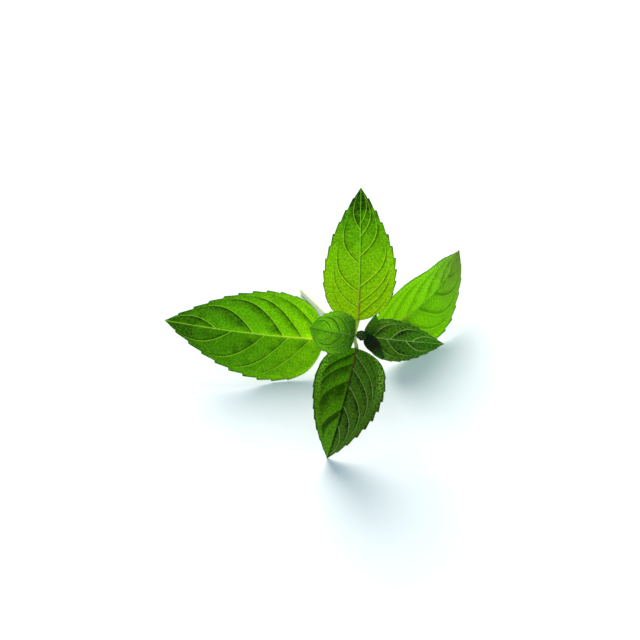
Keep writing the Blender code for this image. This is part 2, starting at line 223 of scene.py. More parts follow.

# Colours of the blades at the foot, the middle and the tip: what the face sends
# back, and what passes through; those of the side veins by both, left and right of
# the midrib; of the midrib at its foot and tip; of the edge, from the share rim of
# the half width; and of the stalk. Each look is the leaves' green toned to how the
# light falls on its leaf: lit and shaded copies, with painted light and shade in them
# besides the leaves' own colours.
# half_light_and_shade: painted light and shade, the tone of the left and the right
# half as the light falls on each; rib_size and soft: how broad the midrib and the
# painted shadow lines are, 1 for a large leaf in focus; grain: how uneven its tone
# is; share: how much light passes; contrast: how far the veins stand out;
# painted_vein_shade: how much painted shade lies behind each vein; tip_shade: how
# much darker the tip is; margin_glints: painted highlights, pale glints on the down
# along the margin
LOOKS = {
    "sunlit": dict(
        face=("#66BD03", "#5A9603", "#437403"), through=("#D1F703", "#9AD303", "#65A103"),
        vein=("#B8F050", "#B8F050"), vein_through=("#E0FF60", "#E0FF60"),
        rib=("#FCFC60", "#D4F460"), edge="#2C5A0C", rim=0.965, stalk="#B4CC60",
        half_light_and_shade=(0.96, 1.03), rib_size=1.0, soft=1.0, grain=0.18, share=0.6, contrast=1.0,
        painted_vein_shade=0.5, tip_shade=0.25, margin_glints=0.1,
    ),
    # its greyish tones towards the tip are a painted sheen
    "bright": dict(
        face=("#5F9403", "#6DB407", "#78884D"), through=("#BFEC03", "#BFF205", "#B7D04D"),
        vein=("#80B840", "#80B840"), vein_through=("#C8F040", "#C8F040"),
        rib=("#E4C860", "#88B448"), edge="#4A8418", rim=0.95, stalk="#A8C458",
        half_light_and_shade=(0.96, 0.98), rib_size=0.8, soft=2.4, grain=0.06, share=0.6, contrast=0.3,
        painted_vein_shade=0.2, tip_shade=0.0, margin_glints=0.0,
    ),
    "golden": dict(
        face=("#579303", "#5A9A03", "#387603"), through=("#D2EE03", "#BFEB03", "#66B603"),
        vein=("#C4FF48", "#C4FF48"), vein_through=("#F4FF60", "#F4FF60"),
        rib=("#D8B050", "#C8FF58"), edge="#4C4C10", rim=0.955, stalk="#C0D060",
        half_light_and_shade=(1.0, 1.0), rib_size=0.75, soft=1.0, grain=0.2, share=0.62, contrast=0.9,
        painted_vein_shade=0.22, tip_shade=0.7, margin_glints=0.1,
    ),
    # its broad dark edge, the dark veins of its right half and the near-black tip of its midrib are painted
    # shade, along the curled edge and in the grooves
    "shaded": dict(
        face=("#4A7A03", "#456703", "#507021"), through=("#95CA03", "#85B204", "#90BF1A"),
        vein=("#B4D080", "#20400C"), vein_through=("#E0F888", "#406010"),
        rib=("#90602C", "#142C06"), edge="#16300A", rim=0.93, stalk="#D4DC98",
        half_light_and_shade=(0.82, 1.22), rib_size=0.7, soft=1.0, grain=0.3, share=0.5, contrast=0.75,
        painted_vein_shade=0.8, tip_shade=0.0, margin_glints=1.0,
    ),
    # its dark foot is painted shade
    "young": dict(
        face=("#235803", "#689E03", "#6CB003"), through=("#6AAA03", "#B1E603", "#B8F403"),
        vein=("#98CC50", "#98CC50"), vein_through=("#CCF860", "#CCF860"),
        rib=("#98B048", "#7CB044"), edge="#4A8020", rim=0.96, stalk="#8CA848",
        half_light_and_shade=(1.0, 1.0), rib_size=0.55, soft=0.8, grain=0.24, share=0.5, contrast=0.95,
        painted_vein_shade=1.0, tip_shade=0.3, margin_glints=0.3,
    ),
    "shaded_young": dict(
        face=("#578003", "#386303", "#3C7E03"), through=("#9BC703", "#7CB103", "#7EC103"),
        vein=("#A8CC68", "#A8CC68"), vein_through=("#D8F478", "#D8F478"),
        rib=("#C8E088", "#B8D880"), edge="#1C4008", rim=0.96, stalk="#7C9A48",
        half_light_and_shade=(1.06, 0.96), rib_size=0.55, soft=0.8, grain=0.3, share=0.45, contrast=1.1,
        painted_vein_shade=1.0, tip_shade=0.2, margin_glints=0.3,
    ),
    "tip": dict(
        face=("#064C03", "#4E7603", "#218A03"), through=("#2C8004", "#76A603", "#5EC103"),
        vein=("#5A7A30", "#5A7A30"), vein_through=("#88A840", "#88A840"),
        rib=("#5A7A38", "#6A8A48"), edge="#18380C", rim=0.95, stalk="#5A7830",
        half_light_and_shade=(1.0, 1.0), rib_size=0.3, soft=0.5, grain=0.2, share=0.35, contrast=0.6,
        painted_vein_shade=0.3, tip_shade=0.0, margin_glints=0.2,
    ),
    # painted shade: near-black, as the tiny leaf lies in the shade of the leaves around it
    "painted_shade_tip": dict(
        face=("#18391E", "#252805", "#286209"), through=("#2D5620", "#3F540D", "#52901B"),
        vein=("#28341C", "#28341C"), vein_through=("#405028", "#405028"),
        rib=("#202820", "#2C3828"), edge="#1C3414", rim=0.94, stalk="#2C3C1C",
        half_light_and_shade=(1.0, 1.0), rib_size=0.3, soft=0.5, grain=0.2, share=0.2, contrast=0.4,
        painted_vein_shade=0.3, tip_shade=0.0, margin_glints=0.1,
    ),
}


def linear(hex_colour):
    """An sRGB hex colour as linear red, green, blue and an alpha of 1."""
    channels = [int(hex_colour[k : k + 2], 16) / 255 for k in (1, 3, 5)]
    return (*(c / 12.92 if c <= 0.04045 else ((c + 0.055) / 1.055) ** 2.4 for c in channels), 1.0)


class BladeSizes(bpy.types.PropertyGroup):
    """Sizes of the leaves' own surface."""

    thickness: FloatProperty(
        name="Thickness", description="Thickness of a blade between its veins",
        default=0.00016, min=0.00008, max=0.0008, unit="LENGTH",
    )
    vein_width: FloatProperty(
        name="Side Vein Width", description="Width of a side vein where it leaves the midrib",
        default=0.00024, min=0.0001, max=0.001, unit="LENGTH",
    )
    rib_width: FloatProperty(
        name="Midrib Width", description="Width of the midrib at the foot of the blade",
        default=0.00042, min=0.0001, max=0.002, unit="LENGTH",
    )
    groove: FloatProperty(
        name="Vein Depth", description="How far the side veins are sunk in the upper face",
        default=0.0002, min=0.0, max=0.0005, unit="LENGTH",
    )
    net_cell: FloatProperty(
        name="Net Cell", description="Size of a field between the finer veins",
        default=0.0011, min=0.0005, max=0.005, unit="LENGTH",
    )


class StemLooks(bpy.types.PropertyGroup):
    """Colours of the stem."""

    skin: FloatVectorProperty(
        name="Skin", description="Colour of the stem's skin", subtype="COLOR",
        size=3, default=linear("#E1E3C5")[:3], min=0.0, max=1.0,
    )
    pith: FloatVectorProperty(
        name="Pith", description="Colour of the pith that the cut end shows", subtype="COLOR",
        size=3, default=linear("#E7E7CB")[:3], min=0.0, max=1.0,
    )


class StageLooks(bpy.types.PropertyGroup):
    """The floor and the light."""

    floor: FloatVectorProperty(
        name="Floor", description="Colour of the floor", subtype="COLOR",
        size=3, default=linear("#DBDBDB")[:3], min=0.0, max=1.0,
    )
    sun: FloatProperty(
        name="Sun", description="Strength of the light from behind",
        default=5, min=0.0, max=20.0,
    )
    sky: FloatProperty(
        name="Sky", description="Strength of the light from all round",
        default=0.86, min=0.0, max=5.0,
    )


def add_node(tree, kind, *inputs, named=None, **settings):
    """Adds a node with its settings, and sets or links its inputs.

    The inputs go to the sockets that the node shows, in order, and the named ones to
    the sockets with those names. Where an input is a node, its first output is linked.
    """
    made = tree.nodes.new(f"ShaderNode{kind}")
    for name, value in settings.items():
        setattr(made, name, value)
    shown = (socket for socket in made.inputs if socket.enabled)
    chosen = ((value, made.inputs[name]) for name, value in (named or {}).items())
    for value, socket in [*zip(inputs, shown), *chosen]:
        if isinstance(value, bpy.types.Node):
            value = next(output for output in value.outputs if output.enabled)
        if isinstance(value, bpy.types.NodeSocket):
            tree.links.new(value, socket)
        else:
            socket.default_value = value
    return made


def new_material(name):
    """An empty node material, and add_node for its tree."""
    mat = bpy.data.materials.new(name)
    mat.use_nodes = True
    mat.node_tree.nodes.clear()
    return mat, partial(add_node, mat.node_tree)


def smooth_step(low, high, value):
    """0 below low, 1 above high, and an S-shaped rise between them."""
    u = np.clip((value - low) / (high - low), 0.0, 1.0)
    return u * u * (3 - 2 * u)


def bell(value, spread):
    """A bell curve: 1 at 0, and e to the power of -1 at the spread."""
    return np.exp(-((value / spread) ** 2))


def unit(vectors):
    """Vectors along the last axis, made one long."""
    return vectors / (np.linalg.norm(vectors, axis=-1, keepdims=True) + 1e-12)


def hashed(i, j, salt):
    """A number from 0 to 1 for each pair of whole numbers, by the fraction of a
    large multiple of a sine, the same on every run."""
    value = np.sin(i * 127.1 + j * 311.7 + salt * 74.7) * 43758.5453
    return value - np.floor(value)


def mesh_piece(name, points, faces, material, fields):
    """A smooth mesh object at the origin, from points in millimetres.

    fields are numbers for each point that the material reads by name; a field of
    pairs becomes a UV map.
    """
    mesh = bpy.data.meshes.new(name)
    metres = (points + np.array(SPRIG_AT)) * MM
    mesh.from_pydata(metres.tolist(), [], faces)
    corner = np.empty(len(mesh.loops), np.int64)
    mesh.loops.foreach_get("vertex_index", corner)
    for key, values in fields.items():
        values = values.astype(np.float32)
        if values.ndim == 2:
            mesh.uv_layers.new(name=key).data.foreach_set("uv", values[corner].ravel())
        else:
            mesh.attributes.new(key, "FLOAT", "POINT").data.foreach_set("value", values)
    mesh.shade_smooth()
    mesh.materials.append(material)
    obj = bpy.data.objects.new(name, mesh)
    bpy.context.scene.collection.objects.link(obj)
    return obj


def tube_faces(rings, sides):
    """Quads between rings of points, and fans to the two centres that follow them."""
    ring, side = np.meshgrid(np.arange(rings - 1), np.arange(sides), indexing="ij")
    a = (ring * sides + side).ravel()
    b = (ring * sides + (side + 1) % sides).ravel()
    quads = np.column_stack((a, b, b + sides, a + sides)).tolist()
    first = np.arange(sides)
    following = (first + 1) % sides
    last = (rings - 1) * sides
    start = np.column_stack((np.full(sides, rings * sides), following, first)).tolist()
    end = np.column_stack((np.full(sides, rings * sides + 1), last + first, last + following))
    return quads + start + end.tolist()


def ring_normals(rings):
    """Unit normals of a grid of rings: the cross product of the steps along the
    ring and from ring to ring."""
    around = np.roll(rings, -1, axis=1) - np.roll(rings, 1, axis=1)
    return unit(np.cross(around, np.gradient(rings, axis=0)))


def ring_areas(rings):
    """The area that each point of a grid of rings stands for, as a flat list."""
    around = np.linalg.norm(np.roll(rings, -1, axis=1) - rings, axis=-1)
    return (around * np.linalg.norm(np.gradient(rings, axis=0), axis=-1)).ravel()


def grow_down(points, faces, fields, roots, outward, forward, seed):
    """Adds the plant's down to a piece: three-sided cones that lean forward by chance.

    Each hair has its root sunk a little at one of the points, and takes over that
    point's fields.
    """
    chance = np.random.default_rng(seed)
    count = len(roots)
    length = HAIR_LENGTH * chance.uniform(0.5, 1.0, (count, 1))
    lean = unit(outward + 0.6 * forward + chance.normal(0, 0.25, (count, 3)))
    side = unit(np.cross(lean, chance.normal(0, 1, (count, 3))))
    other = np.cross(lean, side)
    foot = points[roots] - HAIR_SUNK * outward
    base = [foot + HAIR_RADIUS * (math.cos(a) * side + math.sin(a) * other) for a in HAIR_CORNERS]
    hairs = np.stack((*base, foot + lean * length), axis=1).reshape(-1, 3)
    cone = np.array(((0, 1, 3), (1, 2, 3), (2, 0, 3), (0, 2, 1)))
    cones = (cone + 4 * np.arange(count)[:, None, None]).reshape(-1, 3) + len(points)
    grown = {key: np.concatenate((values, values[roots].repeat(4, axis=0))) for key, values in fields.items()}
    grown["down"] = np.append(np.zeros(len(points)), np.ones(len(hairs)))
    return np.vstack((points, hairs)), faces + cones.tolist(), grown


def cross_matrix(axis):
    """The matrix K for which K v is the cross product of the axis and v."""
    x, y, z = axis
    return np.array(((0, -z, y), (z, 0, -x), (-y, x, 0)))


def leaf_frame(heading, rise, roll):
    """Columns: along the midrib, across to its left, and up from the upper face."""
    a, e, r = np.radians((heading, rise, roll))
    along = np.array((np.cos(e) * np.cos(a), np.cos(e) * np.sin(a), np.sin(e)))
    level_up = np.array((-np.sin(e) * np.cos(a), -np.sin(e) * np.sin(a), np.cos(e)))
    level_left = np.cross(level_up, along)
    left = level_left * np.cos(r) + level_up * np.sin(r)
    up = level_up * np.cos(r) - level_left * np.sin(r)
    return np.column_stack((along, left, up))


def along_midrib(leaf, share):
    """Places and frames at shares of the midrib's length.

    The frame turns evenly about one axis, by Rodrigues' formula
    I + sin(w) K + (1 - cos(w)) K K, and the place is its integral.
    """
    turn = np.radians((leaf["twist"], leaf["droop"], leaf["sideways"]))
    whole = np.linalg.norm(turn)
    k = cross_matrix(turn / whole)
    w = (whole * share)[..., None, None]
    s = share[..., None, None]
    turned = np.eye(3) + np.sin(w) * k + (1 - np.cos(w)) * (k @ k)
    summed = s * np.eye(3) + (1 - np.cos(w)) / whole * k + (s - np.sin(w) / whole) * (k @ k)
    foot_frame = leaf_frame(leaf["heading"], leaf["rise"], leaf["roll"])
    places = leaf["foot"] + leaf["length"] * (summed[..., :, 0] @ foot_frame.T)
    return places, foot_frame @ turned


def on_leaf(leaf, x, y, height):
    """Points at x along the blade, y to its left and height above its mid surface.

    Each half is folded up by an angle that grows with the distance from the
    midrib, so its section is part of a circle.
    """
    share = np.clip(x / leaf["length"], 0.0, 1.0)
    places, frames = along_midrib(leaf, share)
    along, left, up = frames[..., 0], frames[..., 1], frames[..., 2]
    side = np.sign(y)[..., None]
    reach = np.abs(y)[..., None]
    fold, curl = np.radians((leaf["fold"], leaf["curl"]))
    chord = fold + curl * reach / 2
    slope = fold + curl * reach
    beyond = (x - share * leaf["length"])[..., None]
    places = places + along * beyond + left * side * reach * np.cos(chord)
    places = places + up * reach * np.sin(chord)
    return places + (up * np.cos(slope) - left * side * np.sin(slope)) * height[..., None]


def half_width(leaf, t):
    """Half the blade's breadth at the share t of its length: root t times 1 - t,
    the latter to the power of the taper."""
    taper = leaf.get("taper", 1.0)
    widest = 0.5 / (0.5 + taper)
    at_widest = math.sqrt(widest) * (1 - widest) ** taper
    blade = leaf["width"] / 2 * np.sqrt(t) * (1 - t) ** taper / at_widest
    return np.hypot(blade, leaf["petiole"] * (1 - t) + TIP_HALF_WIDTH * t)


def blade_rows(leaf, grid):
    """Shares of the length where the rows meet the margin: close at the foot, where
    the margin turns fast, and closest on the step down after each tooth."""
    rows = [TEETH_FROM * np.linspace(0, 1, grid["foot"], endpoint=False) ** 2]
    first = TEETH_FROM
    if leaf["teeth"]:
        back = np.linspace(0, TOOTH_PEAK, grid["tooth"] - 5, endpoint=False)
        step = np.linspace(TOOTH_PEAK, 1, 5, endpoint=False)
        pitch = (TEETH_TO - TEETH_FROM) / leaf["teeth"]
        tooth = np.arange(leaf["teeth"])[:, None]
        rows.append((TEETH_FROM + (tooth + np.concatenate((back, step))) * pitch).ravel())
        first = TEETH_TO
    rows.append(1 - (1 - first) * np.linspace(1, 0, grid["tip"]) ** 1.3)
    return np.concatenate(rows)


def tooth_outline(leaf, t):
    """How far out the margin stands, from TOOTH_LOW to TOOTH_HIGH of a tooth's depth:
    a rounded back up to the point, and a short straight step down after it."""
    if not leaf["teeth"]:
        return np.zeros_like(t)
    phase = (t - TEETH_FROM) / (TEETH_TO - TEETH_FROM) * leaf["teeth"]
    within = phase - np.floor(phase)
    back = (within / TOOTH_PEAK) ** 1.25
    step = 1 - (within - TOOTH_PEAK) / (1 - TOOTH_PEAK)
    out = TOOTH_LOW + (TOOTH_HIGH - TOOTH_LOW) * np.where(within < TOOTH_PEAK, back, step)
    out = out * (0.75 + 0.5 * hashed(np.floor(phase + 0.5 * (1 - TOOTH_PEAK)), leaf["length"], 3))
    return np.where((t < TEETH_FROM) | (t > TEETH_TO), 0.0, out)


def vein_fields(leaf, x, c, half):
    """Where each point lies among the side veins.

    A side vein that leaves the midrib at the share s runs where
    s = a - run * artanh(b / reach), with a the share of the length and b the
    share of the half width. Returns the running count of veins, which is whole
    on each of them, the millimetres from one to the next, and their strength.
    """
    a = x / leaf["length"]
    reach = np.where(c >= 0, leaf["reach"][0], leaf["reach"][1])
    run = np.where(c >= 0, leaf["run"][0], leaf["run"][1])
    b = np.minimum(np.abs(c) / reach, 0.985)
    source = a - run * np.arctanh(b)
    slope_y = run / reach / (1 - b ** 2) / half
    steepness = np.hypot(1 / leaf["length"], slope_y)
    count, gap, last = (np.zeros_like(x) for _ in range(3))
    for here, starts in zip((c >= 0, c < 0), leaf["veins"]):
        first, end = starts[0], starts[-1]
        knots = np.array((first - 0.32, first - 0.15, *starts, end + 0.1, end + 0.2, end + 0.3))
        middles = (knots[1:] + knots[:-1]) / 2
        count = np.where(here, np.interp(source, knots, np.arange(len(knots)) - 2.0), count)
        gap = np.where(here, np.interp(source, middles, np.diff(knots)) / steepness, gap)
        last = np.where(here, len(starts) - 1.0, last)
    strength = 1 - smooth_step(0.84, 1.02, np.abs(c) / np.minimum(reach, 0.95))
    strength = strength * smooth_step(-1.8, -0.6, count) * (1 - smooth_step(0.15, 0.6, count - last))
    return count, gap, strength


def blade_fields(leaf, x, y, c, half):
    """Everything that the blade's relief and its material need at each point."""
    count, gap, strength = vein_fields(leaf, x, c, half)
    along, across = x / leaf["length"], np.abs(c)
    past = count - np.floor(count)
    clear = (1 - bell(y, 1.2)) * (1 - smooth_step(0.78, 0.97, across))
    # where painted shade lies: just past each vein, on the part of its field turned from the light
    shade_behind_vein = smooth_step(0.0, 0.07, past) * (1 - smooth_step(0.08, 0.55, past)) * clear * strength
    return dict(
        along=along, across=across, left=np.where(c >= 0, 1.0, 0.0), rib=np.abs(y),
        vein_count=count, vein_gap=gap, vein_strength=strength,
        from_vein=np.abs(count - np.round(count)) * gap, past=past, clear=clear,
        # painted shadow lines beside the side veins and beside the midrib
        shadow_line=np.where(c >= 0, leaf["shadow_line"][0], leaf["shadow_line"][1]) * strength,
        rib_shadow_line=leaf["shadow_line"][2] * (1 - smooth_step(0.8, 1.0, along)),
        shade_behind_vein=shade_behind_vein * (1.1 - 0.7 * across) * (0.45 + 0.8 * np.clip(along, 0, 1)),
    )


def upper_relief(leaf, sizes, fields):
    """Height of the upper face over the plain bent sheet, in millimetres.

    Each field between two side veins swells like half a sine wave that is steeper
    behind the vein at its foot. Side veins and midrib lie in grooves with the shape
    of a bell curve.
    """
    swell = np.sin(np.pi * fields["past"] ** 0.72) * np.minimum(fields["vein_gap"] / FULL_SWELL_GAP, 1.0)
    groove = sizes.groove / MM * min(1.0, leaf["length"] / FULL_VEIN_LENGTH)
    rib_width = leaf["petiole"] * (1 - 0.75 * np.clip(fields["along"], 0, 1)) * 0.6
    relief = leaf["quilt"] * swell * fields["clear"]
    relief -= groove * bell(fields["from_vein"], GROOVE_SPREAD) * fields["vein_strength"]
    return relief - 1.3 * groove * bell(fields["rib"], rib_width)


def lower_relief(leaf, fields):
    """How far the veins stand out of the lower face: the midrib as half a rod that
    thins towards the tip, side veins as low bell-shaped ridges."""
    along = np.clip(fields["along"], 0, 1)
    radius = leaf["petiole"] * (1 - along) ** 0.8 + 0.08
    rod = radius * np.sqrt(np.clip(1 - (fields["rib"] / radius) ** 2, 0, 1))
    height = RIDGE_HEIGHT * min(1.0, leaf["length"] / FULL_VEIN_LENGTH) * (1 - 0.6 * fields["across"])
    ridge = height * bell(fields["from_vein"], RIDGE_SPREAD) * fields["vein_strength"]
    return np.maximum(rod, ridge)


def stem_point(span):
    """The stem's centre at a place counted in spans, on a Catmull-Rom curve."""
    points = np.array(STEM_POINTS)
    points = np.vstack((2 * points[0] - points[1], points, 2 * points[-1] - points[-2]))
    span = np.asarray(span, float)
    k = np.minimum(span.astype(int), len(STEM_POINTS) - 2)
    t = (span - k)[..., None]
    p0, p1, p2, p3 = (points[k + i] for i in range(4))
    return 0.5 * (2 * p1 + (p2 - p0) * t + (2 * p0 - 5 * p1 + 4 * p2 - p3) * t ** 2
                  + (3 * p1 - p0 - 3 * p2 + p3) * t ** 3)


def stem_half_width(span):
    """Half the stem's width at a place counted in spans, with its swollen nodes."""
    here = np.interp(span, range(len(STEM_HALF_WIDTHS)), STEM_HALF_WIDTHS)
    for node, swelling in STEM_NODES:
        here = here + swelling * bell(span - node, 0.16)
    return here


def stalk_rings(leaf, grid, c):
    """Rings of the leaf stalk, from inside the stem to the blade's foot.

    The centre runs on a cubic curve that leaves the stem squarely and comes in
    along the midrib. The section is flat-topped where it meets the blade.
    """
    foot = np.array(leaf["foot"])
    foot_frame = leaf_frame(leaf["heading"], leaf["rise"], leaf["roll"])
    node = stem_point(leaf["node"])
    outward = unit(foot - node)
    start = node + outward * float(stem_half_width(leaf["node"])) * 0.55
    reach = np.linalg.norm(foot - start)
    knots = (start, start + outward * reach / 3, foot - foot_frame[:, 0] * reach / 3, foot)
    u = np.linspace(0, 1, grid["stalk"], endpoint=False)[:, None]
    weights = ((1 - u) ** 3, 3 * u * (1 - u) ** 2, 3 * u ** 2 * (1 - u), u ** 3)
    centre = sum(weight * knot for weight, knot in zip(weights, knots))
    angle = c * np.radians(86)
    radius = leaf["petiole"] * (1 + 0.35 * (1 - u) ** 2)
    middle = centre[:, None, :] + (np.sin(angle) * radius)[..., None] * foot_frame[:, 1]
    rise = np.cos(angle) * radius * (0.75 - 0.4 * u ** 2)
    fall = np.cos(angle) * radius * 0.95
    upper = middle + rise[..., None] * foot_frame[:, 2]
    lower = middle - fall[..., None] * foot_frame[:, 2]
    return upper, lower, (u - 1) * reach


def build_leaf(name, leaf, sizes):
    """One leaf with its stalk, as a closed sheet on a grid of rows and columns.

    A column keeps its share c of the half width, + on the left, and a row leaves the
    midrib at t to the power of the sweep and meets the margin at t. Teeth move only
    the columns by the margin, as c to the power of 18.
    """
    grid = GRIDS[leaf["slot"]]
    right = np.linspace(0, 1, grid["half"] + 1) ** 1.1
    c = np.concatenate((right[::-1], -right[1:]))
    t = blade_rows(leaf, grid)[:, None]
    half = half_width(leaf, t)
    part = np.abs(c)
    foot = t ** SWEEP
    size = np.sin(np.pi * t) ** 0.5
    out = tooth_outline(leaf, t) * np.where(c >= 0, leaf["bite"][0], leaf["bite"][1]) * part ** 18
    lobe = leaf["lobes"] * np.sin(np.pi * np.minimum(t / 0.3, 1.0)) ** 2
    x = leaf["length"] * (foot + (t - foot) * part ** 1.3 + TOOTH_LEAN * out) - lobe * part ** 2
    y = c * half + np.sign(c) * out * TOOTH_DEPTH * leaf["width"] * size
    fields = blade_fields(leaf, x, y, np.broadcast_to(c, x.shape), half)

    # the stalk runs on into the upper face as a low ridge
    ridge = np.sqrt(np.clip(1 - (y / leaf["petiole"]) ** 2, 0, 1)) * np.exp(-np.maximum(x, 0) / 2.0)
    wave = leaf["ripple"] * part ** 2 * np.sin(2 * np.pi * RIPPLES * t) * size
    middle = wave + upper_relief(leaf, sizes, fields)
    thick = sizes.thickness / MM / 2 * (1 - 0.6 * part ** 10)
    upper = on_leaf(leaf, x, y, middle + thick + 0.35 * leaf["petiole"] * ridge)
    lower = on_leaf(leaf, x, y, middle - thick - lower_relief(leaf, fields))
    stalk_upper, stalk_lower, stalk_x = stalk_rings(leaf, grid, c)
    upper = np.concatenate((stalk_upper, upper))
    lower = np.concatenate((stalk_lower, lower))
    rings = np.concatenate((upper, lower[:, ::-1]), axis=1)
    count, sides = rings.shape[:2]
    points = np.vstack((rings.reshape(-1, 3), rings[0].mean(0), rings[-1].mean(0)))

    def wrapped(stalk, blade):
        """Values on stalk and blade, for the upper face, the lower one and the ends."""
        whole = np.concatenate((np.broadcast_to(stalk, (len(stalk_x), len(c))), blade))
        both = np.concatenate((whole, whole[:, ::-1]), axis=1).ravel()
        return np.append(both, (both[0], both[-1]))

    stalk = dict(along=stalk_x / leaf["length"], vein_count=0.5, vein_gap=9.0)
    layers = {key: wrapped(stalk.get(key, 0.0), fields[key]) for key in BLADE_FIELDS}
    layers["below"] = np.append(np.tile(np.repeat((0.0, 1.0), len(c)), count), (0.0, 0.0))
    plan = np.column_stack((wrapped(stalk_x, x), wrapped(c * leaf["petiole"], y)))
    layers["plan"] = plan / PLAN_WIDTH + (0.1, 0.5)

    # down: on the stalk, along midrib and margin, and thinly all over
    chance = np.random.default_rng(round(leaf["length"] * 10))
    along, across, rib = (layers[key][:-2] for key in ("along", "across", "rib"))
    liking = 0.04 + 1.0 * (across > MARGIN_FROM) + 0.5 * bell(rib, 0.4)
    liking = liking * ring_areas(rings) * (1 - smooth_step(0.85, 1.0, along))
    roots = chance.choice(count * sides, grid["hairs"], replace=False, p=liking / liking.sum())
    normals = ring_normals(rings)
    normals = normals * np.sign(np.sum(normals[:, : len(c)] * (upper - lower)))
    from_middle = unit(points[roots] - rings.mean(axis=1)[roots // sides])
    at_margin = (across[roots] > MARGIN_FROM)[:, None]
    outward = np.where(at_margin, from_middle, normals.reshape(-1, 3)[roots])
    forward = unit(np.gradient(rings, axis=0).reshape(-1, 3)[roots])
    points, faces, layers = grow_down(
        points, tube_faces(count, sides), layers, roots, outward, forward, seed=len(name))
    mat = leaf_material(f"mint_blade_{leaf['look']}", LOOKS[leaf["look"]], sizes)
    obj = mesh_piece(name, points, faces, mat, layers)
    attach(obj, BODY)
    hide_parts(leaf["stands_for"])


